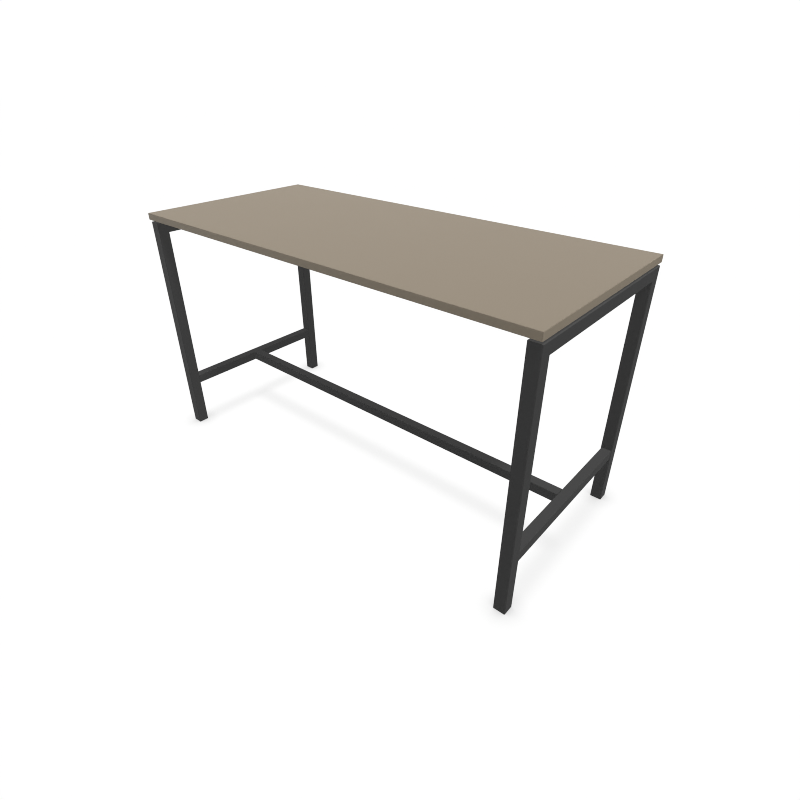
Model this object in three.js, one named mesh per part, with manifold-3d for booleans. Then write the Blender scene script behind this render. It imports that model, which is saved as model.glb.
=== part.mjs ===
// Standing-height meeting table: a laminated top that floats above a frame of square steel tube, with a
// footrest between the two end frames and a levelling glide in each leg.
// Millimetres, +Z up. The origin is on the floor below the middle of the top, +X runs along the length and
// the front long side faces -Y.
import * as THREE from 'three';
import { mergeVertices } from 'three/addons/utils/BufferGeometryUtils.js';
import Module from 'manifold-3d';

const wasm = await Module();
wasm.setup();

// Overall
const tableLength = 1800;
const tableWidth = 800;
const tableHeight = 1007;
const shadowGap = 9; // open joint between the end frames and the underside of the top

// Top
const coreThickness = 25;
const laminateThickness = 0.8;
const bandThickness = 2;
const bandRadius = 1.5; // rounded upper and lower edges of the bands
const cornerRadius = 2; // upright corners of the top
const glueLine = 0.1;

// Tubes
const legSize = 45; // legs and end rails
const barSize = 40; // crossbars and footrest stretcher
const tubeWall = 2;
const tubeRadius = 3; // outer corners of every tube
const leastRadius = 0.5;
const sideInset = 7.5; // legs behind the long edges of the top; the ends are flush with it
const footrestHeight = 244; // upper face of the crossbars and the stretcher
const weldGap = 0.3;

// Footrest fixing: a stub on each crossbar, which the stretcher slides over
const spigotLength = 60;
const spigotWall = 4;
const slideClearance = 0.3;
const lockScrewInset = 30; // from the end of the stretcher
const lockScrewDiameter = 6;
const lockScrewHeadDiameter = 11;
const lockScrewHeadHeight = 3.2;
const lockScrewProud = 2; // past the spigot's wall

// Beams under the top
const beamSpacing = 460; // between their centre lines
const beamWidth = 30;
const beamHeight = 40;
const plateThickness = 4;
const plateWidth = 84;
const plateRadius = 6;
const boltSpacing = 56;
const boltDiameter = 8;
const boltHeadFlats = 13;
const boltHeadHeight = 5.3;
const boltProud = 3; // past the nut
const nutFlats = 13;
const nutHeight = 6.5;
const topScrewInset = 130; // from the end of the beam
const topScrewDiameter = 5;
const topScrewHeadDiameter = 12;
const topScrewHeadHeight = 3.5;
const topScrewDepth = 18; // into the core
const accessHoleDiameter = 15;

// Feet
const plugFlange = 2;
const plugHeight = 26;
const plugWall = 2;
const plugFloor = 4; // above the recess for the pad
const bossDiameter = 16;
const padDiameter = 28;
const padHeight = 4;
const padChamfer = 0.8;
const padClearance = 0.5;
const stemDiameter = 8;
const threadEngagement = 10; // still in the plug with the glide wound right out
const glideTravel = 12;

// Gaps between faces that touch, and round a shank in its hole
const fitGap = 0.3;
const holeClearance = 0.3;

// Facets
const cornerSegments = 4;
const edgeSegments = 3;
const roundSegments = 12;
const padSegments = 24;
const domeSteps = 4;

// Places worked out from the sizes above
const topThickness = coreThickness + 2 * (laminateThickness + glueLine);
const undersideZ = tableHeight - topThickness;
const frameTopZ = undersideZ - shadowGap;
const legX = tableLength / 2 - legSize / 2;
const legY = tableWidth / 2 - sideInset - legSize / 2;
const railInnerX = legX - legSize / 2;
const footrestZ = footrestHeight - barSize / 2;
const beamTopZ = undersideZ - fitGap;
const beamZ = beamTopZ - beamHeight / 2;
const beamLength = 2 * (railInnerX - 2 * fitGap - plateThickness);
const boltZ = (beamTopZ - beamHeight + frameTopZ) / 2;
const stretcherLength = 2 * (legX - barSize / 2 - weldGap);
const innerRadius = Math.max(tubeRadius - tubeWall, leastRadius);

const sides = [
  { name: 'left', sign: -1 },
  { name: 'right', sign: 1 },
];
const rows = [
  { name: 'front', sign: -1 },
  { name: 'back', sign: 1 },
];

// Finishes
const finish = (color, roughness, metalness) =>
  new THREE.MeshStandardMaterial({ color, roughness, metalness, flatShading: true });
const laminateFinish = finish(0xa29787, 0.55, 0);
const backingFinish = finish(0x8f8577, 0.7, 0);
const coreFinish = finish(0xc2a57c, 0.9, 0);
const paintFinish = finish(0x3d3e40, 0.6, 0.2);
const plasticFinish = finish(0x202122, 0.7, 0);
const steelFinish = finish(0xb4b7ba, 0.35, 1);

// Booleans on closed meshes
function toSolid(geometry) {
  const bare = new THREE.BufferGeometry();
  bare.setAttribute('position', geometry.getAttribute('position'));
  bare.setIndex(geometry.getIndex());
  const merged = mergeVertices(bare);
  const vertProperties = new Float32Array(merged.getAttribute('position').array);
  const triVerts = new Uint32Array(merged.getIndex().array);
  return new wasm.Manifold(new wasm.Mesh({ numProp: 3, vertProperties, triVerts }));
}

function toGeometry(solid) {
  const { vertProperties, triVerts } = solid.getMesh();
  const geometry = new THREE.BufferGeometry();
  geometry.setAttribute('position', new THREE.BufferAttribute(vertProperties, 3));
  geometry.setIndex(new THREE.BufferAttribute(triVerts, 1));
  geometry.computeVertexNormals();
  return geometry;
}

const cut = (body, ...tools) =>
  toGeometry(tools.reduce((rest, tool) => rest.subtract(toSolid(tool)), toSolid(body)));
const join = (body, ...others) =>
  toGeometry(others.reduce((whole, other) => whole.add(toSolid(other)), toSolid(body)));
const common = (body, other) => toGeometry(toSolid(body).intersect(toSolid(other)));

// Basic shapes
function roundedRect(width, height, radius) {
  const x = width / 2 - radius;
  const y = height / 2 - radius;
  const shape = new THREE.Shape();
  shape.absarc(x, y, radius, 0, Math.PI / 2);
  shape.absarc(-x, y, radius, Math.PI / 2, Math.PI);
  shape.absarc(-x, -y, radius, Math.PI, 1.5 * Math.PI);
  shape.absarc(x, -y, radius, 1.5 * Math.PI, 2 * Math.PI);
  return shape;
}

const prism = (shape, depth) =>
  new THREE.ExtrudeGeometry(shape, { depth, bevelEnabled: false, curveSegments: cornerSegments });

const box = (x, y, z) => new THREE.BoxGeometry(x, y, z);

const rod = (diameter, length) =>
  new THREE.CylinderGeometry(diameter / 2, diameter / 2, length, roundSegments).rotateX(Math.PI / 2);

const turned = (profile, segments) =>
  new THREE.LatheGeometry(
    profile.map(([radius, height]) => new THREE.Vector2(radius, height)),
    segments,
  ).rotateX(Math.PI / 2);

// Square or rectangular tube, centred on the origin and running along Z
function tube(width, height, length, wall = tubeWall, radius = tubeRadius) {
  const section = roundedRect(width, height, radius);
  const bore = roundedRect(width - 2 * wall, height - 2 * wall, Math.max(radius - wall, leastRadius));
  section.holes.push(bore);
  return prism(section, length).translate(0, 0, -length / 2);
}

const alongX = (geometry) => geometry.rotateY(Math.PI / 2);
const alongY = (geometry) => geometry.rotateX(-Math.PI / 2);

// Block that fills the space beyond a plane, on the side that the normal points to
function beyond(point, normal, reach) {
  const turn = new THREE.Quaternion().setFromUnitVectors(new THREE.Vector3(0, 0, 1), normal);
  return box(reach, reach, reach).translate(0, 0, reach / 2).applyQuaternion(turn)
    .translate(point.x, point.y, point.z);
}

function place(group, name, geometry, material, x = 0, y = 0, z = 0) {
  const mesh = new THREE.Mesh(geometry, material);
  mesh.name = name;
  mesh.position.set(x, y, z);
  group.add(mesh);
  return mesh;
}

// Fasteners, with the seat of the head at z = 0 and the shank along +Z
function domedScrew(headDiameter, headHeight, diameter, length, tipLength) {
  const dome = [];
  for (let step = 0; step <= domeSteps; step += 1) {
    const angle = (step / domeSteps) * (Math.PI / 2);
    dome.push([(headDiameter / 2) * Math.sin(angle), -headHeight * Math.cos(angle)]);
  }
  const shank = [[diameter / 2, 0], [diameter / 2, length - tipLength], [0, length]];
  return turned([...dome, ...shank], roundSegments);
}

const hexPrism = (flats, height) =>
  new THREE.CylinderGeometry(flats / Math.sqrt(3), flats / Math.sqrt(3), height, 6).rotateX(Math.PI / 2);

function hexBolt(length) {
  const head = hexPrism(boltHeadFlats, boltHeadHeight).translate(0, 0, -boltHeadHeight / 2);
  const rootDepth = boltHeadHeight / 2; // the shank starts inside the head
  const shank = rod(boltDiameter, length + rootDepth).translate(0, 0, (length - rootDepth) / 2);
  return join(head, shank);
}

const hexNut = () =>
  cut(hexPrism(nutFlats, nutHeight), rod(boltDiameter + 2 * holeClearance, 2 * nutHeight));

// Screws through the beams into the core, in plan
const topScrewX = beamLength / 2 - topScrewInset;
const topScrewPlaces = rows.flatMap((row) =>
  [['left', -topScrewX], ['middle', 0], ['right', topScrewX]].map(([label, x]) => ({
    name: `top_screw_${row.name}_${label}`,
    x,
    y: row.sign * beamSpacing / 2,
  })),
);

// Core, two laminates and four edge bands. The bands are cut from one slab with rounded edges.
function makeTop() {
  const group = new THREE.Group();
  const pilot = topScrewDiameter + 2 * holeClearance;
  const screwHoles = (length, z) => topScrewPlaces.map(({ x, y }) => rod(pilot, length).translate(x, y, z));
  const boardLength = tableLength - 2 * (bandThickness + glueLine);
  const boardWidth = tableWidth - 2 * (bandThickness + glueLine);

  const backingZ = undersideZ + laminateThickness / 2;
  const backing = cut(
    box(boardLength, boardWidth, laminateThickness),
    ...screwHoles(3 * laminateThickness, 0),
  );
  place(group, 'backing_laminate', backing, backingFinish, 0, 0, backingZ);

  const coreZ = tableHeight - topThickness / 2;
  const holeDepth = topScrewDepth + fitGap;
  const core = cut(
    box(boardLength, boardWidth, coreThickness),
    ...screwHoles(2 * holeDepth, -coreThickness / 2),
  );
  place(group, 'core_board', core, coreFinish, 0, 0, coreZ);

  const laminate = box(boardLength, boardWidth, laminateThickness);
  place(group, 'top_laminate', laminate, laminateFinish, 0, 0, tableHeight - laminateThickness / 2);

  const slab = new THREE.ExtrudeGeometry(roundedRect(tableLength, tableWidth, cornerRadius), {
    depth: topThickness - 2 * bandRadius,
    bevelThickness: bandRadius,
    bevelSize: bandRadius,
    bevelOffset: -bandRadius,
    bevelSegments: edgeSegments,
    curveSegments: cornerSegments,
  }).translate(0, 0, bandRadius);
  const longBlank = box(2 * tableLength, bandThickness, 2 * topThickness);
  const bandY = (tableWidth - bandThickness) / 2;
  for (const row of rows) {
    const band = common(slab, longBlank.clone().translate(0, row.sign * bandY, topThickness / 2));
    place(group, `edge_band_${row.name}`, band, laminateFinish, 0, 0, undersideZ);
  }
  const shortBlank = box(bandThickness, boardWidth, 2 * topThickness);
  const bandX = (tableLength - bandThickness) / 2;
  for (const side of sides) {
    const band = common(slab, shortBlank.clone().translate(side.sign * bandX, 0, topThickness / 2));
    place(group, `edge_band_${side.name}`, band, laminateFinish, 0, 0, undersideZ);
  }
  return group;
}

// Ribbed insert in the end of a leg, with a recess below for the pad and a threaded boss
function footPlug() {
  const flange = prism(roundedRect(legSize, legSize, tubeRadius), plugFlange);
  const bodySize = legSize - 2 * (tubeWall + fitGap);
  const bodyStart = plugFlange / 2;
  const body = prism(roundedRect(bodySize, bodySize, innerRadius), plugHeight - bodyStart)
    .translate(0, 0, bodyStart);
  const recessDepth = padHeight + fitGap;
  const floorZ = recessDepth + plugFloor;
  const pocketSize = bodySize - 2 * plugWall;
  const pocket = prism(roundedRect(pocketSize, pocketSize, leastRadius), plugHeight)
    .translate(0, 0, floorZ);
  const innerHeight = plugHeight - recessDepth;
  const innerZ = (plugHeight + recessDepth) / 2;
  const boss = rod(bossDiameter, innerHeight).translate(0, 0, innerZ);
  const ribLength = pocketSize + plugWall;
  const ribs = [box(ribLength, plugWall, innerHeight), box(plugWall, ribLength, innerHeight)]
    .map((rib) => rib.translate(0, 0, innerZ));
  const recess = turned(
    [[0, -recessDepth], [padDiameter / 2 + padClearance, -recessDepth],
      [padDiameter / 2 + padClearance, recessDepth], [0, recessDepth]],
    padSegments,
  );
  const bore = rod(stemDiameter + 2 * holeClearance, 4 * plugHeight);
  const shell = cut(join(flange, body), pocket);
  return cut(join(shell, boss, ...ribs), recess, bore);
}

// Pad and threaded stem, wound fully in so that the pad is level with the plug's flange
function levellingGlide() {
  const padRadius = padDiameter / 2;
  const stemRadius = stemDiameter / 2;
  const stemTop = padHeight + fitGap + threadEngagement + glideTravel;
  return turned(
    [[0, 0], [padRadius - padChamfer, 0], [padRadius, padChamfer], [padRadius, padHeight],
      [stemRadius, padHeight], [stemRadius, stemTop - padChamfer], [stemRadius - padChamfer, stemTop],
      [0, stemTop]],
    padSegments,
  );
}

// Two legs and the rail between their tops, mitred together, with the crossbar between the legs
function makeEndFrame(side) {
  const group = new THREE.Group();
  group.position.x = side.sign * legX;
  const reach = 4 * legSize;
  const legBottom = plugFlange + fitGap;
  const railZ = frameTopZ - legSize / 2;
  const mitreNormal = (row) => new THREE.Vector3(0, -row.sign, 1).normalize();

  for (const row of rows) {
    const normal = mitreNormal(row);
    const legLength = frameTopZ - legBottom;
    const blank = tube(legSize, legSize, legLength).translate(0, 0, legBottom + legLength / 2);
    const legFace = new THREE.Vector3(0, 0, railZ).addScaledVector(normal, -weldGap / 2);
    const leg = cut(blank, beyond(legFace, normal, reach));
    const corner = `${row.name}_${side.name}`;
    place(group, `leg_${corner}`, leg, paintFinish, 0, row.sign * legY);
    place(group, `foot_plug_${corner}`, footPlug(), plasticFinish, 0, row.sign * legY);
    place(group, `levelling_glide_${corner}`, levellingGlide(), plasticFinish, 0, row.sign * legY);
  }

  const railEnds = rows.map((row) => {
    const normal = mitreNormal(row);
    const railFace = new THREE.Vector3(0, row.sign * legY, 0).addScaledVector(normal, weldGap / 2);
    return beyond(railFace, normal.negate(), reach);
  });
  const innerWallX = -side.sign * (legSize - tubeWall) / 2;
  const boltHoles = boltPlaces().map(({ y }) =>
    alongX(rod(boltDiameter + 2 * holeClearance, 2 * tubeWall)).translate(innerWallX, y, boltZ - railZ),
  );
  const railBlank = alongY(tube(legSize, legSize, 2 * legY + legSize));
  const rail = cut(railBlank, ...railEnds, ...boltHoles);
  place(group, `end_rail_${side.name}`, rail, paintFinish, 0, 0, railZ);

  const crossbarLength = 2 * (legY - legSize / 2 - weldGap);
  const crossbar = alongY(tube(barSize, barSize, crossbarLength));
  place(group, `crossbar_${side.name}`, crossbar, paintFinish, 0, 0, footrestZ);
  return group;
}

// Stretcher between the crossbars, over a spigot at each end and locked by a screw from below
function makeFootrest() {
  const group = new THREE.Group();
  group.position.z = footrestZ;
  const lockX = stretcherLength / 2 - lockScrewInset;
  const lockHole = lockScrewDiameter + 2 * holeClearance;
  const wallHoles = sides.map((side) =>
    rod(lockHole, 2 * tubeWall).translate(side.sign * lockX, 0, (tubeWall - barSize) / 2),
  );
  const stretcher = cut(alongX(tube(barSize, barSize, stretcherLength)), ...wallHoles);
  place(group, 'footrest_stretcher', stretcher, paintFinish);

  const spigotSize = barSize - 2 * (tubeWall + slideClearance);
  const spigotX = stretcherLength / 2 - spigotLength / 2;
  const shankLength = fitGap + tubeWall + slideClearance + spigotWall + lockScrewProud;
  for (const side of sides) {
    const hole = rod(lockHole, 2 * spigotWall)
      .translate(side.sign * (lockX - spigotX), 0, (spigotWall - spigotSize) / 2);
    const spigot = cut(alongX(tube(spigotSize, spigotSize, spigotLength, spigotWall, innerRadius)), hole);
    place(group, `stretcher_spigot_${side.name}`, spigot, paintFinish, side.sign * spigotX);
    const screw = domedScrew(
      lockScrewHeadDiameter, lockScrewHeadHeight, lockScrewDiameter, shankLength, lockScrewProud / 2,
    );
    const seatZ = -barSize / 2 - fitGap;
    place(group, `stretcher_screw_${side.name}`, screw, steelFinish, side.sign * lockX, 0, seatZ);
  }
  return group;
}

// Bolts of the beam plates along an end rail
function boltPlaces() {
  return rows.flatMap((row) =>
    [['outer', row.sign], ['inner', -row.sign]].map(([label, sign]) => ({
      name: `${row.name}_${label}`,
      y: row.sign * beamSpacing / 2 + sign * boltSpacing / 2,
    })),
  );
}

// Two beams under the top, bolted to the end rails by their end plates and screwed up into the core
function makeBeams() {
  const group = new THREE.Group();
  const shankHole = topScrewDiameter + 2 * holeClearance;
  const wallZ = (beamHeight - tubeWall) / 2;
  for (const row of rows) {
    const holes = [-topScrewX, 0, topScrewX].flatMap((x) => [
      rod(shankHole, 2 * tubeWall).translate(x, 0, wallZ),
      rod(accessHoleDiameter, 2 * tubeWall).translate(x, 0, -wallZ),
    ]);
    const beam = cut(alongX(tube(beamHeight, beamWidth, beamLength)), ...holes);
    place(group, `beam_${row.name}`, beam, paintFinish, 0, row.sign * beamSpacing / 2, beamZ);
  }

  const plateX = beamLength / 2 + fitGap + plateThickness / 2;
  const plateHoles = [-1, 1].map((sign) =>
    alongX(rod(boltDiameter + 2 * holeClearance, 2 * plateThickness))
      .translate(0, sign * boltSpacing / 2, boltZ - beamZ),
  );
  const headSeatX = plateX - plateThickness / 2 - fitGap;
  const nutX = railInnerX + tubeWall + fitGap + nutHeight / 2;
  const shankLength = nutX + nutHeight / 2 + boltProud - headSeatX;
  for (const side of sides) {
    for (const row of rows) {
      const blank = prism(roundedRect(beamHeight, plateWidth, plateRadius), plateThickness);
      const plate = cut(alongX(blank.translate(0, 0, -plateThickness / 2)), ...plateHoles);
      const plateName = `beam_plate_${row.name}_${side.name}`;
      place(group, plateName, plate, paintFinish, side.sign * plateX, row.sign * beamSpacing / 2, beamZ);
    }
    for (const { name, y } of boltPlaces()) {
      const bolt = hexBolt(shankLength).rotateY(side.sign * Math.PI / 2);
      place(group, `beam_bolt_${name}_${side.name}`, bolt, steelFinish, side.sign * headSeatX, y, boltZ);
      const nut = alongX(hexNut());
      place(group, `weld_nut_${name}_${side.name}`, nut, steelFinish, side.sign * nutX, y, boltZ);
    }
  }

  const screwSeatZ = beamTopZ - tubeWall - fitGap;
  const screwLength = undersideZ + laminateThickness + glueLine + topScrewDepth - screwSeatZ;
  for (const { name, x, y } of topScrewPlaces) {
    const screw = domedScrew(
      topScrewHeadDiameter, topScrewHeadHeight, topScrewDiameter, screwLength, topScrewDiameter,
    );
    place(group, name, screw, steelFinish, x, y, screwSeatZ);
  }
  return group;
}

const table = new THREE.Group();
table.add(makeTop(), ...sides.map(makeEndFrame), makeFootrest(), makeBeams());

export default table;
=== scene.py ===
import math

import bmesh
import bpy
from mathutils import Matrix, Vector


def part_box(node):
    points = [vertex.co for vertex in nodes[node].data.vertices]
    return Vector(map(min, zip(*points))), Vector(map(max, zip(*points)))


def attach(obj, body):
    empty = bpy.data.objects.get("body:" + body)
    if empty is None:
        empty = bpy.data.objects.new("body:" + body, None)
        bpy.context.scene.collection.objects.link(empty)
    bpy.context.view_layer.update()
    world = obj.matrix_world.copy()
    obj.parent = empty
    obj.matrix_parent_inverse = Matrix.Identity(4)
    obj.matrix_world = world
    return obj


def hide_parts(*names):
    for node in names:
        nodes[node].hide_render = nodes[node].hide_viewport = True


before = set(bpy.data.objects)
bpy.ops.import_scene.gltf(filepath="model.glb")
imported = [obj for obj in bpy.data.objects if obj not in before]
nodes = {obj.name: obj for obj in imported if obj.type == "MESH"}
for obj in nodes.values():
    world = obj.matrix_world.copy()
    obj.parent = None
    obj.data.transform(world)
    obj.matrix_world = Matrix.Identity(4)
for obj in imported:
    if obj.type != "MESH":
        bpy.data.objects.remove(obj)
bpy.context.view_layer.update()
scene = bpy.context.scene
print("frame loaded:", len(nodes), "nodes")

ends = {"left": -1, "right": 1}
rows = {"front": -1, "back": 1}
corners = [(row, end) for row in rows for end in ends]


# camera, at the photograph's viewing angle
cameraLook = {
    "lens": 25.551, "sensor": 36.0, "near": 0.01,
    "place": (1.4342, -1.53875, 1.55728),
    "down": 31.2313,  # degrees below the horizon
    "turn": 40.5888,  # degrees to the left of +Y
    "blur": 1.0,  # pixels, as crisp as the photograph
}


def makeCamera(look):
    data = bpy.data.cameras.new("camera")
    data.sensor_width = look["sensor"]
    data.lens = look["lens"]
    data.clip_start = look["near"]
    camera = bpy.data.objects.new("camera", data)
    camera.location = look["place"]
    camera.rotation_euler = (math.radians(90 - look["down"]), 0, math.radians(look["turn"]))
    scene.collection.objects.link(camera)
    scene.camera = camera
    scene.cycles.filter_width = look["blur"]


makeCamera(cameraLook)
print("camera placed")


# node helpers
def addNode(tree, kind, **values):
    node = tree.nodes.new(kind)
    for key, value in values.items():
        setattr(node, key, value)
    return node


def feed(tree, socket, value):
    if isinstance(value, bpy.types.NodeSocket):
        tree.links.new(value, socket)
    else:
        socket.default_value = value


def mathNode(tree, operation, first, second):
    node = addNode(tree, "ShaderNodeMath", operation=operation)
    feed(tree, node.inputs[0], first)
    feed(tree, node.inputs[1], second)
    return node.outputs[0]


def rangeNode(tree, value, span, result):
    node = addNode(tree, "ShaderNodeMapRange")
    for socket, item in zip(node.inputs, (value, *span, *result)):
        feed(tree, socket, item)
    return node.outputs[0]


def mixColour(tree, factor, first, second):
    node = addNode(tree, "ShaderNodeMix", data_type="RGBA")
    feed(tree, node.inputs[0], factor)
    feed(tree, node.inputs[6], first)
    feed(tree, node.inputs[7], second)
    return node.outputs[2]


def scaleColour(tree, colour, factor):
    node = addNode(tree, "ShaderNodeVectorMath", operation="SCALE")
    feed(tree, node.inputs[0], colour)
    feed(tree, node.inputs["Scale"], factor)
    return node.outputs[0]


def noiseNode(tree, vector, scale, detail, rough=0.5):
    node = addNode(tree, "ShaderNodeTexNoise")
    feed(tree, node.inputs["Vector"], vector)
    feed(tree, node.inputs["Scale"], scale)
    node.inputs["Detail"].default_value = detail
    node.inputs["Roughness"].default_value = rough
    return node.outputs["Fac"]


def newGroup(name, takes, gives):
    tree = bpy.data.node_groups.new(name, "ShaderNodeTree")
    for label, kind in takes.items():
        tree.interface.new_socket(name=label, in_out="INPUT", socket_type=kind)
    for label, kind in gives.items():
        tree.interface.new_socket(name=label, in_out="OUTPUT", socket_type=kind)
    return tree, tree.nodes.new("NodeGroupInput").outputs, tree.nodes.new("NodeGroupOutput").inputs


def useGroup(tree, group, values):
    node = addNode(tree, "ShaderNodeGroup", node_tree=group)
    for label, value in values.items():
        feed(tree, node.inputs[label], value)
    return node.outputs


# effects that the materials share
vectorKind, colourKind, valueKind = "NodeSocketVector", "NodeSocketColor", "NodeSocketFloat"
noiseMean = 0.5
maskSpan = (0.3, 0.7)  # where most of a noise mask lies

toneLook = {"driftDetail": 3.0, "speckleDetail": 1.0}


def makeToneGroup(look):
    # broad drift and fine speckle laid over a base colour
    tree, given, result = newGroup(
        "toneDrift",
        {"Vector": vectorKind, "Colour": colourKind, "Drift Scale": valueKind, "Drift": valueKind,
         "Speckle Scale": valueKind, "Speckle": valueKind},
        {"Colour": colourKind, "Mask": valueKind})
    drift = noiseNode(tree, given["Vector"], given["Drift Scale"], look["driftDetail"])
    speckle = noiseNode(tree, given["Vector"], given["Speckle Scale"], look["speckleDetail"])
    driftPart = mathNode(tree, "MULTIPLY", mathNode(tree, "SUBTRACT", drift, noiseMean), given["Drift"])
    specklePart = mathNode(tree, "MULTIPLY", mathNode(tree, "SUBTRACT", speckle, noiseMean),
                           given["Speckle"])
    level = mathNode(tree, "ADD", mathNode(tree, "ADD", driftPart, specklePart), 1.0)
    feed(tree, result["Colour"], scaleColour(tree, given["Colour"], level))
    feed(tree, result["Mask"], speckle)
    return tree


pebbleLook = {"smoothness": 0.8, "wave": 0.35, "waveScale": 0.22, "waveDetail": 1.0}


def makePebbleGroup(look):
    # fine closed pebbling, as in powder coat, textured laminate and moulded plastic
    tree, given, result = newGroup("pebble", {"Vector": vectorKind, "Scale": valueKind},
                                   {"Height": valueKind})
    cells = addNode(tree, "ShaderNodeTexVoronoi", feature="SMOOTH_F1")
    feed(tree, cells.inputs["Vector"], given["Vector"])
    feed(tree, cells.inputs["Scale"], given["Scale"])
    cells.inputs["Smoothness"].default_value = look["smoothness"]
    waves = noiseNode(tree, given["Vector"], mathNode(tree, "MULTIPLY", given["Scale"], look["waveScale"]),
                      look["waveDetail"])
    height = mathNode(tree, "ADD", mathNode(tree, "MULTIPLY", waves, look["wave"]),
                      mathNode(tree, "SUBTRACT", 1.0, cells.outputs["Distance"]))
    feed(tree, result["Height"], height)
    return tree


streakLook = {"detail": 3.0, "rough": 0.6}


def makeStreakGroup(look):
    # long drawn streaks along one axis, as on extruded band and turned metal
    tree, given, result = newGroup(
        "streaks", {"Vector": vectorKind, "Stretch": vectorKind, "Scale": valueKind}, {"Mask": valueKind})
    stretched = addNode(tree, "ShaderNodeVectorMath", operation="MULTIPLY")
    feed(tree, stretched.inputs[0], given["Vector"])
    feed(tree, stretched.inputs[1], given["Stretch"])
    feed(tree, result["Mask"],
         noiseNode(tree, stretched.outputs[0], given["Scale"], look["detail"], look["rough"]))
    return tree


toneGroup = makeToneGroup(toneLook)
pebbleGroup = makePebbleGroup(pebbleLook)
streakGroup = makeStreakGroup(streakLook)


def newMaterial(name):
    material = bpy.data.materials.new(name)
    material.use_nodes = True
    tree = material.node_tree
    shader = tree.nodes["Principled BSDF"]
    where = addNode(tree, "ShaderNodeTexCoord").outputs["Object"]
    return material, tree, shader, where


def addTone(tree, where, colour, look):
    return useGroup(tree, toneGroup, {
        "Vector": where, "Colour": colour, "Drift Scale": look["driftScale"], "Drift": look["drift"],
        "Speckle Scale": look["speckleScale"], "Speckle": look["speckle"]})


def addStreaks(tree, where, stretch, look):
    return useGroup(tree, streakGroup, {
        "Vector": where, "Stretch": stretch, "Scale": look["streakScale"]})["Mask"]


def setRoughness(tree, shader, mask, look):
    feed(tree, shader.inputs["Roughness"], rangeNode(tree, mask, maskSpan, look["rough"]))


def setBump(tree, shader, height, look):
    bump = addNode(tree, "ShaderNodeBump")
    bump.inputs["Strength"].default_value = look["bump"]
    bump.inputs["Distance"].default_value = look["depth"]
    feed(tree, bump.inputs["Height"], height)
    feed(tree, shader.inputs["Normal"], bump.outputs["Normal"])


# coated faces: laminate, backing sheet, powder coat and moulded plastic
laminateLook = {
    "colour": (0.312, 0.2645, 0.206, 1),
    "drift": 0.02, "driftScale": 4.0,
    "speckle": 0.05, "speckleScale": 1400.0,
    "rough": (0.5, 0.6), "specular": 0.05,
    "grain": 1500.0, "bump": 0.12, "depth": 0.00004,
}

backingLook = {
    "colour": (0.27, 0.235, 0.19, 1),
    "drift": 0.04, "driftScale": 5.0,
    "speckle": 0.1, "speckleScale": 700.0,
    "rough": (0.68, 0.8), "specular": 0.0,
    "grain": 700.0, "bump": 0.15, "depth": 0.00005,
}

paintLook = {
    "colour": (0.064, 0.064, 0.064, 1),
    "drift": 0.05, "driftScale": 9.0,
    "speckle": 0.22, "speckleScale": 1100.0,
    "rough": (0.64, 0.76), "specular": 0.011,
    "grain": 750.0, "bump": 0.16, "depth": 0.00008,
}

# painted light: the upward faces of the end rails are painted lighter, standing in for light that reaches
# them in the gap under the top
railPaintedLightLook = {**paintLook, "paintedLight": 0.26, "paintedLightSpan": (0.0, 0.5)}

plasticLook = {
    "colour": (0.022, 0.022, 0.023, 1),
    "drift": 0.08, "driftScale": 30.0,
    "speckle": 0.2, "speckleScale": 1800.0,
    "rough": (0.5, 0.62), "specular": 0.3,
    "grain": 1900.0, "bump": 0.2, "depth": 0.00004,
}


def paintLightUpward(tree, colour, look):
    # painted light: lighter as a face turns up, over a span of its normal's Z
    normal = addNode(tree, "ShaderNodeSeparateXYZ")
    feed(tree, normal.inputs[0], addNode(tree, "ShaderNodeNewGeometry").outputs["Normal"])
    return scaleColour(tree, colour, rangeNode(tree, normal.outputs["Z"], look["paintedLightSpan"],
                                               (1.0, 1 + look["paintedLight"])))


def coatedMaterial(name, look):
    # base tone with drift and speckle, with painted light on upward faces where the look holds it, pebbled,
    # roughness led by the speckle
    material, tree, shader, where = newMaterial(name)
    tone = addTone(tree, where, look["colour"], look)
    colour = paintLightUpward(tree, tone["Colour"], look) if "paintedLight" in look else tone["Colour"]
    feed(tree, shader.inputs["Base Color"], colour)
    setRoughness(tree, shader, tone["Mask"], look)
    shader.inputs["Specular IOR Level"].default_value = look["specular"]
    pebble = useGroup(tree, pebbleGroup, {"Vector": where, "Scale": look["grain"]})
    setBump(tree, shader, pebble["Height"], look)
    return material


# edge band, with the streaks of extrusion along its length
bandLook = {
    "colour": (0.288, 0.246, 0.191, 1),
    "drift": 0.02, "driftScale": 8.0,
    "speckle": 0.04, "speckleScale": 1200.0,
    "rough": (0.5, 0.6), "specular": 0.0055,
    "streak": 0.03, "streakScale": 900.0, "stretch": 0.04, "bump": 0.1, "depth": 0.00005,
}


def bandMaterial(name, look, stretch):
    material, tree, shader, where = newMaterial(name)
    tone = addTone(tree, where, look["colour"], look)
    streaks = addStreaks(tree, where, stretch, look)
    light = rangeNode(tree, streaks, maskSpan, (1 - look["streak"], 1 + look["streak"]))
    feed(tree, shader.inputs["Base Color"], scaleColour(tree, tone["Colour"], light))
    setRoughness(tree, shader, streaks, look)
    shader.inputs["Specular IOR Level"].default_value = look["specular"]
    setBump(tree, shader, streaks, look)
    return material


# chipboard, in the core
chipLook = {
    "pale": (0.60, 0.42, 0.23, 1), "dark": (0.36, 0.22, 0.11, 1), "chip": 260.0,
    "drift": 0.02, "driftScale": 6.0,
    "speckle": 0.3, "speckleScale": 900.0,
    "rough": (0.8, 0.95), "bump": 0.4, "depth": 0.0003,
}


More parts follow.
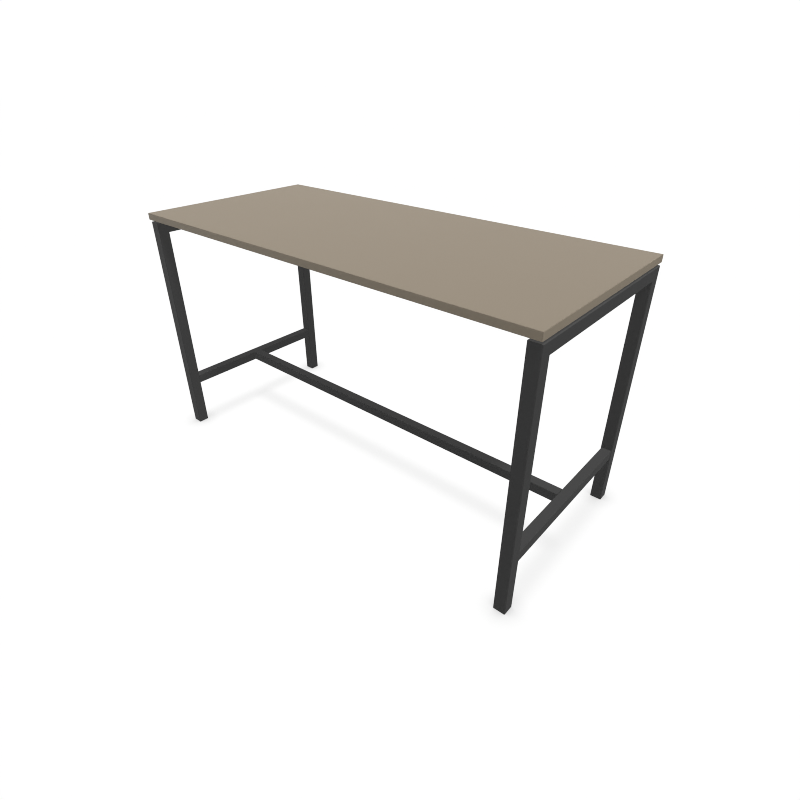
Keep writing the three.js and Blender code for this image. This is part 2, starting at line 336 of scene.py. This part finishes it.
def chipMaterial(name, look):
    material, tree, shader, where = newMaterial(name)
    chips = addNode(tree, "ShaderNodeTexVoronoi", feature="F1")
    feed(tree, chips.inputs["Vector"], where)
    chips.inputs["Scale"].default_value = look["chip"]
    shade = mixColour(tree, chips.outputs["Distance"], look["pale"], look["dark"])
    tone = addTone(tree, where, shade, look)
    feed(tree, shader.inputs["Base Color"], tone["Colour"])
    setRoughness(tree, shader, tone["Mask"], look)
    setBump(tree, shader, chips.outputs["Distance"], look)
    return material


# zinc plate, on the fasteners
zincLook = {
    "cool": (0.56, 0.58, 0.60, 1), "warm": (0.62, 0.60, 0.55, 1),
    "blush": 120.0, "blushDetail": 3.0, "blushSpan": (0.35, 0.65),
    "drift": 0.12, "driftScale": 60.0,
    "speckle": 0.12, "speckleScale": 2500.0,
    "streakScale": 900.0, "stretch": (1.0, 1.0, 6.0),
    "rough": (0.26, 0.42), "bump": 0.08, "depth": 0.00005,
}


def zincMaterial(name, look):
    material, tree, shader, where = newMaterial(name)
    blush = noiseNode(tree, where, look["blush"], look["blushDetail"])
    warmth = rangeNode(tree, blush, look["blushSpan"], (0.0, 1.0))
    tone = addTone(tree, where, mixColour(tree, warmth, look["cool"], look["warm"]), look)
    feed(tree, shader.inputs["Base Color"], tone["Colour"])
    streaks = addStreaks(tree, where, look["stretch"], look)
    setRoughness(tree, shader, streaks, look)
    shader.inputs["Metallic"].default_value = 1.0
    setBump(tree, shader, streaks, look)
    return material


finishes = {
    "laminate": coatedMaterial("taupeLaminate", laminateLook),
    "bandLong": bandMaterial("taupeBandLong", bandLook, (bandLook["stretch"], 1.0, 1.0)),
    "bandShort": bandMaterial("taupeBandShort", bandLook, (1.0, bandLook["stretch"], 1.0)),
    "backing": coatedMaterial("taupeBacking", backingLook),
    "paint": coatedMaterial("anthracitePowderCoat", paintLook),
    # end rails: the powder coat with painted light on its upward faces
    "railPaintedLight": coatedMaterial("anthraciteRailCoatPaintedLight", railPaintedLightLook),
    "plastic": coatedMaterial("blackMouldedPlastic", plasticLook),
    "zinc": zincMaterial("zincPlate", zincLook),
    "chip": chipMaterial("chipboard", chipLook),
}


def finishOf(name):
    if name == "top_laminate":
        return "laminate"
    if name == "backing_laminate":
        return "backing"
    if name == "core_board":
        return "chip"
    if name.startswith("edge_band"):
        return "bandLong" if name.endswith(("front", "back")) else "bandShort"
    # end rails take the coat with painted light on their upward faces
    if name.startswith("end_rail"):
        return "railPaintedLight"
    if name.startswith(("foot_plug", "levelling_glide")):
        return "plastic"
    if "_bolt" in name or "_nut" in name or "_screw" in name:
        return "zinc"
    return "paint"


# smooth shading over the small facets of the rounded corners, flats stay flat
softEdges = {"angle": 32.0, "weld": 0.000001}


def makeSmoothGroup(look):
    tree = bpy.data.node_groups.new("smoothCorners", "GeometryNodeTree")
    tree.interface.new_socket(name="Geometry", in_out="INPUT", socket_type="NodeSocketGeometry")
    tree.interface.new_socket(name="Geometry", in_out="OUTPUT", socket_type="NodeSocketGeometry")
    given, result = tree.nodes.new("NodeGroupInput"), tree.nodes.new("NodeGroupOutput")
    allSmooth = addNode(tree, "GeometryNodeSetShadeSmooth", domain="FACE")
    sharp = addNode(tree, "GeometryNodeSetShadeSmooth", domain="EDGE")
    angle = tree.nodes.new("GeometryNodeInputMeshEdgeAngle")
    wide = addNode(tree, "FunctionNodeCompare", operation="GREATER_THAN")
    wide.inputs["B"].default_value = math.radians(look["angle"])
    tree.links.new(angle.outputs["Unsigned Angle"], wide.inputs["A"])
    tree.links.new(given.outputs[0], allSmooth.inputs["Geometry"])
    tree.links.new(allSmooth.outputs["Geometry"], sharp.inputs["Geometry"])
    tree.links.new(wide.outputs["Result"], sharp.inputs["Selection"])
    sharp.inputs["Shade Smooth"].default_value = False
    tree.links.new(sharp.outputs["Geometry"], result.inputs[0])
    return tree


smoothGroup = makeSmoothGroup(softEdges)


def smoothCorners(obj, look):
    weld = obj.modifiers.new("weld", "WELD")
    weld.merge_threshold = look["weld"]
    obj.modifiers.new("smooth", "NODES").node_group = smoothGroup
    even = obj.modifiers.new("even", "WEIGHTED_NORMAL")
    even.keep_sharp = True


for name, node in nodes.items():
    node.data.materials.clear()
    node.data.materials.append(finishes[finishOf(name)])
    smoothCorners(node, softEdges)
print("finishes on", len(nodes), "nodes")


# added pieces, in millimetres until they are kept
millimetre = 0.001
closeUp = 0.002  # points nearer than this are one
onPlane = 0.0001  # points nearer to a cut than this are on it


def keepPiece(name, bm, finish, body, slot, *stoodFor):
    bmesh.ops.remove_doubles(bm, verts=bm.verts, dist=closeUp)
    bmesh.ops.recalc_face_normals(bm, faces=bm.faces)
    bmesh.ops.scale(bm, vec=(millimetre,) * 3, verts=bm.verts)
    mesh = bpy.data.meshes.new(name)
    bm.to_mesh(mesh)
    bm.free()
    mesh.materials.append(finishes[finish])
    piece = bpy.data.objects.new(name, mesh)
    scene.collection.objects.link(piece)
    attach(piece, body)
    if stoodFor:
        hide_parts(*stoodFor)
    smoothCorners(piece, softEdges)


def boxOf(name):
    low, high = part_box(name)
    return [Vector(corner) / millimetre for corner in (low, high)]


def turnedForm(bm, outline, steps):
    # outline of (radius, height) pairs, spun once round Z
    verts = [bm.verts.new((radius, 0, height)) for radius, height in outline]
    edges = [bm.edges.new(pair) for pair in zip(verts, verts[1:])]
    bmesh.ops.spin(bm, geom=verts + edges, cent=(0, 0, 0), axis=(0, 0, 1), angle=2 * math.pi,
                   steps=steps, use_merge=True)
    bmesh.ops.remove_doubles(bm, verts=bm.verts, dist=closeUp)


def openRims(bm):
    return [edge for edge in bm.edges if edge.is_boundary]


def cutAway(bm, point, normal, close=True):
    # everything on the normal's side goes, and the cut is closed unless it is to stay open
    made = bmesh.ops.bisect_plane(bm, geom=bm.verts[:] + bm.edges[:] + bm.faces[:], dist=onPlane,
                                  plane_co=point, plane_no=normal, clear_outer=True)["geom_cut"]
    if close:
        rim = [item for item in made if isinstance(item, bmesh.types.BMEdge) and item.is_boundary]
        bmesh.ops.holes_fill(bm, edges=rim, sides=0)


def roundedLoop(bm, width, depth, radius, segments):
    # edges of a rectangle with rounded corners, lying in XY
    bmesh.ops.create_grid(bm, x_segments=1, y_segments=1, size=0.5)
    bmesh.ops.scale(bm, vec=(width, depth, 1), verts=bm.verts)
    bmesh.ops.bevel(bm, geom=bm.verts[:], affect="VERTICES", offset=radius, offset_type="OFFSET",
                    segments=segments, profile=0.5, material=-1)
    bmesh.ops.delete(bm, geom=bm.faces[:], context="FACES_ONLY")
    return bm.edges[:]


def growLoop(bm, rim, scale, rise):
    # extrude a loop, widening it and lifting it
    made = bmesh.ops.extrude_edge_only(bm, edges=rim)["geom"]
    verts = [item for item in made if isinstance(item, bmesh.types.BMVert)]
    fresh = set(verts)
    bmesh.ops.scale(bm, vec=(scale[0], scale[1], 1), verts=verts)
    bmesh.ops.translate(bm, vec=(0, 0, rise), verts=verts)
    return [item for item in made if isinstance(item, bmesh.types.BMEdge)
            and item.verts[0] in fresh and item.verts[1] in fresh]


# painted fillet welds where a bar meets a leg, or a beam its plate
weldLook = {
    "steps": ((0.55, 0.75), (1.1, 0.8)),  # outwards and along, from the bar to the face it meets
    "start": 1.6, "inset": 0.03, "radius": 3.0, "segments": 4,
    "gap": 0.05, "trim": 0.1,
}


def weldCollar(bm, width, depth, look):
    # the face that the bar meets is at z = 0 and the bar comes from below
    wide, deep = width + 2 * look["inset"], depth + 2 * look["inset"]
    first = roundedLoop(bm, wide, deep, look["radius"], look["segments"])
    bmesh.ops.translate(bm, vec=(0, 0, -look["start"]), verts=bm.verts)
    rim, grown = first, 0.0
    for outwards, along in look["steps"]:
        scale = [(side + 2 * outwards) / (side + 2 * grown) for side in (wide, deep)]
        rim = growLoop(bm, rim, scale, along)
        grown = outwards
    scale = [side / (side + 2 * grown) for side in (wide, deep)]
    last = growLoop(bm, rim, scale, 0)
    bmesh.ops.bridge_loops(bm, edges=first + last)


def crossbarWelds(look):
    for end in ends:
        low, high = boxOf("crossbar_" + end)
        middle = (low + high) / 2
        for row, side in rows.items():
            legLow, legHigh = boxOf("leg_" + row + "_" + end)
            face = legHigh.y if side < 0 else legLow.y
            bm = bmesh.new()
            weldCollar(bm, high.x - low.x, high.z - low.z, look)
            turn = Matrix.Rotation(math.radians(-90 * side), 4, "X")
            place = Matrix.Translation((middle.x, face - side * look["gap"], middle.z))
            bmesh.ops.transform(bm, matrix=place @ turn, verts=bm.verts)
            keepPiece("crossbar_weld_" + row + "_" + end, bm, "paint", "table", "frame")


def beamWelds(look):
    for row in rows:
        low, high = boxOf("beam_" + row)
        middle = (low + high) / 2
        for end, side in ends.items():
            plateLow, plateHigh = boxOf("beam_plate_" + row + "_" + end)
            face = plateLow.x if side > 0 else plateHigh.x
            bm = bmesh.new()
            weldCollar(bm, high.z - low.z, high.y - low.y, look)
            turn = Matrix.Rotation(math.radians(90 * side), 4, "Y")
            place = Matrix.Translation((face - side * look["gap"], middle.y, middle.z))
            bmesh.ops.transform(bm, matrix=place @ turn, verts=bm.verts)
            cutAway(bm, (0, 0, high.z), (0, 0, 1))  # level with the beam's top, clear of the board
            cutAway(bm, (0, 0, low.z + look["trim"]), (0, 0, -1))  # and with the plate's lower edge
            keepPiece("beam_weld_" + row + "_" + end, bm, "paint", "table", "frame")


crossbarWelds(weldLook)
beamWelds(weldLook)
print("welds run")


# weld metal, ground flush, in the mitres between legs and end rails
mitreLook = {"inset": 0.02, "thickness": 0.26, "radius": 3.0, "segments": 4}


def mitreSeams(look):
    for row, end in corners:
        side = rows[row]
        legLow, legHigh = boxOf("leg_" + row + "_" + end)
        railLow, railHigh = boxOf("end_rail_" + end)
        size = legHigh.x - legLow.x - 2 * look["inset"]
        bm = bmesh.new()
        rim = roundedLoop(bm, size, size, look["radius"], look["segments"])
        bmesh.ops.edgeloop_fill(bm, edges=rim)
        lean = Matrix.Identity(4)
        lean[2][1] = side  # lies along the 45 degree cut
        bmesh.ops.transform(bm, matrix=lean, verts=bm.verts)
        across = Vector((0, -side, 1)).normalized() * look["thickness"]
        bmesh.ops.translate(bm, vec=-across / 2, verts=bm.verts)
        made = bmesh.ops.extrude_face_region(bm, geom=bm.faces[:], use_keep_orig=True)["geom"]
        bmesh.ops.translate(bm, vec=across,
                            verts=[item for item in made if isinstance(item, bmesh.types.BMVert)])
        middle = Vector(((legLow.x + legHigh.x) / 2, (legLow.y + legHigh.y) / 2,
                         (railLow.z + railHigh.z) / 2))
        bmesh.ops.translate(bm, vec=middle, verts=bm.verts)
        keepPiece("mitre_seam_" + row + "_" + end, bm, "paint", "table", "frame")


mitreSeams(mitreLook)
print("mitres closed")


# hexagon bolts through the beam plates: washer face, chamfered head, turned shank
boltLook = {
    "headFlats": 13.0, "headHeight": 5.3, "washerRadius": 6.1, "washer": 0.45,
    "chamferRadius": 6.2, "chamferTilt": 30.0, "shankRadius": 4.0, "tip": 0.9, "steps": 24,
}
hexagonSides = 6


def roundAbout(count):
    # unit vectors evenly round Z
    angles = [2 * math.pi * index / count for index in range(count)]
    return [Vector((math.cos(angle), math.sin(angle), 0)) for angle in angles]


def hexagonRing(bm, flats, height, steps):
    # a hexagon's edges, divided to suit the round that it is bridged to
    verts = bmesh.ops.create_circle(bm, cap_ends=False, segments=hexagonSides,
                                    radius=flats / math.sqrt(3))["verts"]
    bmesh.ops.translate(bm, vec=(0, 0, height), verts=verts)
    sides = list({edge for vert in verts for edge in vert.link_edges})
    made = bmesh.ops.subdivide_edges(bm, edges=sides, cuts=steps // hexagonSides - 1)["geom"]
    return [item for item in made if isinstance(item, bmesh.types.BMEdge)]


def hexBolt(bm, length, look):
    # seat at z = 0, head below, shank up
    turnedForm(bm, [(look["washerRadius"], -look["washer"]), (look["washerRadius"], 0),
                    (look["shankRadius"], 0), (look["shankRadius"], length - look["tip"]),
                    (look["shankRadius"] - look["tip"], length), (0, length)], look["steps"])
    mouth = openRims(bm)
    shoulder = hexagonRing(bm, look["headFlats"], -look["washer"], look["steps"])
    bmesh.ops.bridge_loops(bm, edges=mouth + shoulder)
    crown = growLoop(bm, shoulder, (1, 1), look["washer"] - look["headHeight"])
    bmesh.ops.edgeloop_fill(bm, edges=crown)
    tilt = math.radians(look["chamferTilt"])
    for outward in roundAbout(look["steps"]):  # flats of the cone that trims the head's corners
        cutAway(bm, outward * look["chamferRadius"] - Vector((0, 0, look["headHeight"])),
                outward * math.sin(tilt) - Vector((0, 0, math.cos(tilt))))


def beamBolts(look):
    for row, end in corners:
        for place in ("outer", "inner"):
            name = "_".join(("beam_bolt", row, place, end))
            low, high = boxOf(name)
            side = ends[end]
            seat = low.x + look["headHeight"] if side > 0 else high.x - look["headHeight"]
            bm = bmesh.new()
            hexBolt(bm, high.x - low.x - look["headHeight"], look)
            turn = Matrix.Rotation(math.radians(90 * side), 4, "Y")
            spot = Matrix.Translation((seat, (low.y + high.y) / 2, (low.z + high.z) / 2))
            bmesh.ops.transform(bm, matrix=spot @ turn, verts=bm.verts)
            keepPiece(name + "_hex", bm, "zinc", "table", "fastener", name)


beamBolts(boltLook)


# domed screws with a hexagon socket
lockScrewLook = {
    "headHeight": 3.2, "rim": 2.9, "domeStart": 0.75, "domeSag": 0.35, "domeSteps": 6, "edge": 0.1,
    "socketFlats": 4.0, "socketDepth": 1.9, "socketTaper": 0.96,
    "shankRadius": 3.0, "point": 1.0, "pointRadius": 0.05, "steps": 24,
}
topScrewLook = {**lockScrewLook, "headHeight": 3.5, "rim": 3.0, "socketDepth": 2.0,
                "shankRadius": 2.5, "point": 4.0}


def domeOutline(headRadius, look):
    # from the socket's rim out and up to the head's edge
    height, rim = look["headHeight"], look["rim"]
    start = math.asin(rim / headRadius * look["domeStart"])
    outline = [(rim, -height)]
    for index in range(1, look["domeSteps"] + 1):
        part = index / look["domeSteps"]
        angle = start + (math.pi / 2 - start) * part
        outwards = (math.sin(angle) - math.sin(start)) / (1 - math.sin(start))
        outline.append((rim + (headRadius - rim) * outwards,
                        -height * math.cos(angle) / math.cos(start) - look["domeSag"] * part))
    return outline


def socketScrew(bm, headRadius, length, look):
    # seat at z = 0, dome below, shank up
    edge, shank = look["edge"], look["shankRadius"]
    turnedForm(bm, domeOutline(headRadius, look)
               + [(headRadius, -edge), (headRadius - edge, 0), (shank, 0), (shank, length - look["point"]),
                  (look["pointRadius"], length), (0, length)], look["steps"])
    mouth = openRims(bm)
    socket = hexagonRing(bm, look["socketFlats"], -look["headHeight"], look["steps"])
    bmesh.ops.bridge_loops(bm, edges=mouth + socket)
    base = growLoop(bm, socket, (look["socketTaper"],) * 2, look["socketDepth"])
    bmesh.ops.edgeloop_fill(bm, edges=base)


def domedScrews(names, look):
    for name in names:
        low, high = boxOf(name)
        bm = bmesh.new()
        socketScrew(bm, (high.y - low.y) / 2, high.z - low.z - look["headHeight"], look)
        middle = (low + high) / 2
        bmesh.ops.translate(bm, vec=(middle.x, middle.y, low.z + look["headHeight"]), verts=bm.verts)
        keepPiece(name + "_socket", bm, "zinc", "table", "fastener", name)


domedScrews(["stretcher_screw_" + end for end in ends], lockScrewLook)
domedScrews(["top_screw_" + row + "_" + place for row in rows for place in ("left", "middle", "right")],
            topScrewLook)
print("fasteners made")


# levelling glides: ringed pad with a notched rim on a threaded stem
glideLook = {
    "padRadius": 14.0, "padHeight": 4.0, "chamfer": 0.8, "edge": 0.4, "neck": 5.0, "padSteps": 72,
    "groove": 0.5, "hub": 2.2, "hubSlope": 0.6, "rings": (5.6, 9.2), "ringWidth": 1.0, "ringSlope": 0.4,
    "notch": 0.97, "notchEvery": 6, "notchSteps": 2,
    "crest": 4.0, "root": 3.35, "pitch": 1.25, "turnSteps": 24, "tip": 0.8, "leadFlats": 12,
    "rootReach": 0.475, "roundReach": 0.105, "crestReach": 0.055, "roundDrop": 0.02,
    "turnsBelow": 1.5, "turnsSpare": 3,
}


def glidePad(bm, look):
    # open at the neck, where the stem joins it
    radius, height, groove, slope = (look[key] for key in ("padRadius", "padHeight", "groove", "ringSlope"))
    outline = [(0, groove), (look["hub"], groove), (look["hub"] + look["hubSlope"], 0)]
    for inner in look["rings"]:
        outer = inner + 2 * slope + look["ringWidth"]
        outline += [(inner, 0), (inner + slope, groove), (outer - slope, groove), (outer, 0)]
    outline += [(radius - look["chamfer"], 0), (radius, look["chamfer"]), (radius, height - look["edge"]),
                (radius - look["edge"], height), (look["neck"], height)]
    turnedForm(bm, outline, look["padSteps"])
    stepAngle = 2 * math.pi / look["padSteps"]
    rim = [vert for vert in bm.verts if vert.co.xy.length > radius - look["edge"] / 2]
    notched = [vert for vert in rim if round(math.atan2(vert.co.y, vert.co.x) / stepAngle)
               % look["notchEvery"] < look["notchSteps"]]
    bmesh.ops.scale(bm, vec=(look["notch"], look["notch"], 1), verts=notched)


def threadOutline(look):
    # one pitch, as (radius, height) pairs, the same below and above the crest
    root, crest, middle = look["root"], look["crest"], look["pitch"] / 2
    half = [(root, middle), (root, look["rootReach"]), (crest - look["roundDrop"], look["roundReach"]),
            (crest, look["crestReach"])]
    return ([(radius, middle - reach) for radius, reach in half]
            + [(radius, middle + reach) for radius, reach in reversed(half)])


def glideStem(bm, bottom, top, look):
    # the thread's outline, spun up the stem and trimmed, open at the bottom
    pitch = look["pitch"]
    start = bottom - look["turnsBelow"] * pitch
    verts = [bm.verts.new((radius, 0, start + height)) for radius, height in threadOutline(look)]
    edges = [bm.edges.new(pair) for pair in zip(verts, verts[1:])]
    turns = math.ceil((top - bottom) / pitch) + look["turnsSpare"]
    bmesh.ops.spin(bm, geom=verts + edges, cent=(0, 0, 0), axis=(0, 0, 1), angle=turns * 2 * math.pi,
                   dvec=(0, 0, pitch / look["turnSteps"]), steps=turns * look["turnSteps"])
    bmesh.ops.remove_doubles(bm, verts=bm.verts, dist=closeUp)
    cutAway(bm, (0, 0, bottom), (0, 0, -1), close=False)
    cutAway(bm, (0, 0, top), (0, 0, 1))
    for outward in roundAbout(look["leadFlats"]):  # tapered lead at the stem's end
        cutAway(bm, outward * (look["crest"] - look["tip"]) + Vector((0, 0, top)),
                (outward + Vector((0, 0, 1))).normalized())


def glides(look):
    for row, end in corners:
        name = "levelling_glide_" + row + "_" + end
        low, high = boxOf(name)
        bm = bmesh.new()
        glideStem(bm, look["padHeight"], high.z - low.z, look)
        glidePad(bm, look)
        bmesh.ops.bridge_loops(bm, edges=openRims(bm))
        middle = (low + high) / 2
        bmesh.ops.translate(bm, vec=(middle.x, middle.y, low.z), verts=bm.verts)
        keepPiece("glide_" + row + "_" + end, bm, "plastic", name, "glide", name)


glides(glideLook)
print("glides made")


# white surroundings
def seenRay(tree):
    # what the camera sees, straight or in a reflection
    path = addNode(tree, "ShaderNodeLightPath").outputs
    return mathNode(tree, "MAXIMUM", path["Is Camera Ray"],
                    mathNode(tree, "MAXIMUM", path["Is Glossy Ray"], path["Is Transmission Ray"]))


# floor: white to the eye, with the soft shadows of the low bars and feet
floorLook = {
    "half": 30.0, "below": 0.0005,
    "white": 1.004,  # a touch over white, so that noise doesn't grey it
    "shade": 0.185,  # share of the white that the overhead lamp gives, so what the low bars can take away
    "footReach": 0.09, "footShade": 0.6, "footFade": 0.026, "footSamples": 32,
}


def floorMaterial(look):
    material = bpy.data.materials.new("whiteFloor")
    material.use_nodes = True
    tree = material.node_tree
    tree.nodes.clear()
    corner = addNode(tree, "ShaderNodeAmbientOcclusion", samples=look["footSamples"])
    corner.inputs["Distance"].default_value = look["footReach"]
    closed = mathNode(tree, "MULTIPLY", mathNode(tree, "SUBTRACT", 1.0, corner.outputs["AO"]),
                      look["footShade"])
    nearFoot = mathNode(tree, "MAXIMUM", mathNode(tree, "SUBTRACT", closed, look["footFade"]), 0.0)
    glow = addNode(tree, "ShaderNodeEmission")
    glow.inputs["Color"].default_value = (1, 1, 1, 1)
    feed(tree, glow.inputs["Strength"],
         mathNode(tree, "MULTIPLY", seenRay(tree),
                  mathNode(tree, "SUBTRACT", look["white"] - look["shade"], nearFoot)))
    matt = addNode(tree, "ShaderNodeBsdfDiffuse")
    matt.inputs["Color"].default_value = (look["shade"], look["shade"], look["shade"], 1)
    both = addNode(tree, "ShaderNodeAddShader")
    tree.links.new(glow.outputs[0], both.inputs[0])
    tree.links.new(matt.outputs[0], both.inputs[1])
    oneWay = addNode(tree, "ShaderNodeMixShader")  # clear from below
    tree.links.new(addNode(tree, "ShaderNodeNewGeometry").outputs["Backfacing"], oneWay.inputs[0])
    tree.links.new(both.outputs[0], oneWay.inputs[1])
    tree.links.new(addNode(tree, "ShaderNodeBsdfTransparent").outputs[0], oneWay.inputs[2])
    tree.links.new(oneWay.outputs[0], addNode(tree, "ShaderNodeOutputMaterial").inputs["Surface"])
    return material


def makeFloor(look):
    mesh = bpy.data.meshes.new("floor")
    bm = bmesh.new()
    bmesh.ops.create_grid(bm, x_segments=1, y_segments=1, size=look["half"])
    bmesh.ops.translate(bm, vec=(0, 0, -look["below"]), verts=bm.verts)
    bm.to_mesh(mesh)
    bm.free()
    mesh.materials.append(floorMaterial(look))
    floor = bpy.data.objects.new("floor", mesh)
    scene.collection.objects.link(floor)
    return floor


floor = makeFloor(floorLook)


# backdrop beyond the floor, a touch over white as well
worldLook = {"white": 1.02}


def makeWorld(look):
    world = bpy.data.worlds.new("whiteRoom")
    scene.world = world
    world.use_nodes = True
    tree = world.node_tree
    backdrop = tree.nodes["Background"]
    backdrop.inputs["Color"].default_value = (1, 1, 1, 1)
    feed(tree, backdrop.inputs["Strength"], mathNode(tree, "MULTIPLY", seenRay(tree), look["white"]))


makeWorld(worldLook)


# lamps: share is the light on a face square to the lamp, where 1 shows a colour as it is written
lampLooks = {
    "key": {"from": (0.397, -0.14, 1.0), "share": 0.315, "spread": 9.0, "shadow": True},
    "frontRight": {"from": (0.579, -0.579, 0.574), "share": 0.455, "spread": 20.0, "shadow": False},
    "frontLeft": {"from": (-0.579, -0.579, 0.574), "share": 0.215, "spread": 20.0, "shadow": False},
    "backRight": {"from": (0.641, 0.641, 0.4226), "share": 0.345, "spread": 20.0, "shadow": False},
    "backLeft": {"from": (-0.641, 0.641, 0.4226), "share": 0.41, "spread": 20.0, "shadow": False},
    "below": {"from": (0.0, 0.0, -1.0), "share": 0.2, "spread": 20.0, "shadow": False},
    "sheen": {"from": (-0.825, -0.495, -0.2), "share": 1.6, "spread": 23.0, "shadow": False},
    "overhead": {"from": (-0.009, 0.014, 1.0), "share": 1.0, "spread": 24.0, "shadow": True},
}


def linkGroup(name, objects, state):
    group = bpy.data.collections.new(name)
    for obj in objects:
        group.objects.link(obj)
    for entry in group.collection_objects:
        entry.light_linking.link_state = state
    return group


def makeLamps(looks):
    # the overhead lamp lights the floor alone, the sheen lamp only shows in gloss
    lowBars = [nodes[name] for name in ("crossbar_left", "crossbar_right", "footrest_stretcher")]
    tableOnly = linkGroup("tableOnly", [floor], "EXCLUDE")
    floorOnly = linkGroup("floorOnly", [floor], "INCLUDE")
    lowCasters = linkGroup("lowCasters", lowBars, "INCLUDE")
    for name, look in looks.items():
        data = bpy.data.lights.new(name, "SUN")
        data.energy = math.pi * look["share"]
        data.angle = math.radians(look["spread"])
        data.use_shadow = look["shadow"]
        lamp = bpy.data.objects.new(name, data)
        lamp.rotation_euler = Vector(look["from"]).to_track_quat("Z", "Y").to_euler()
        lamp.visible_glossy = look["shadow"] or name == "sheen"
        lamp.visible_diffuse = name != "sheen"
        scene.collection.objects.link(lamp)
        lamp.light_linking.receiver_collection = floorOnly if name == "overhead" else tableOnly
        if name == "overhead":
            lamp.light_linking.blocker_collection = lowCasters


makeLamps(lampLooks)
scene.view_settings.view_transform = "Standard"
print("floor and lamps set")
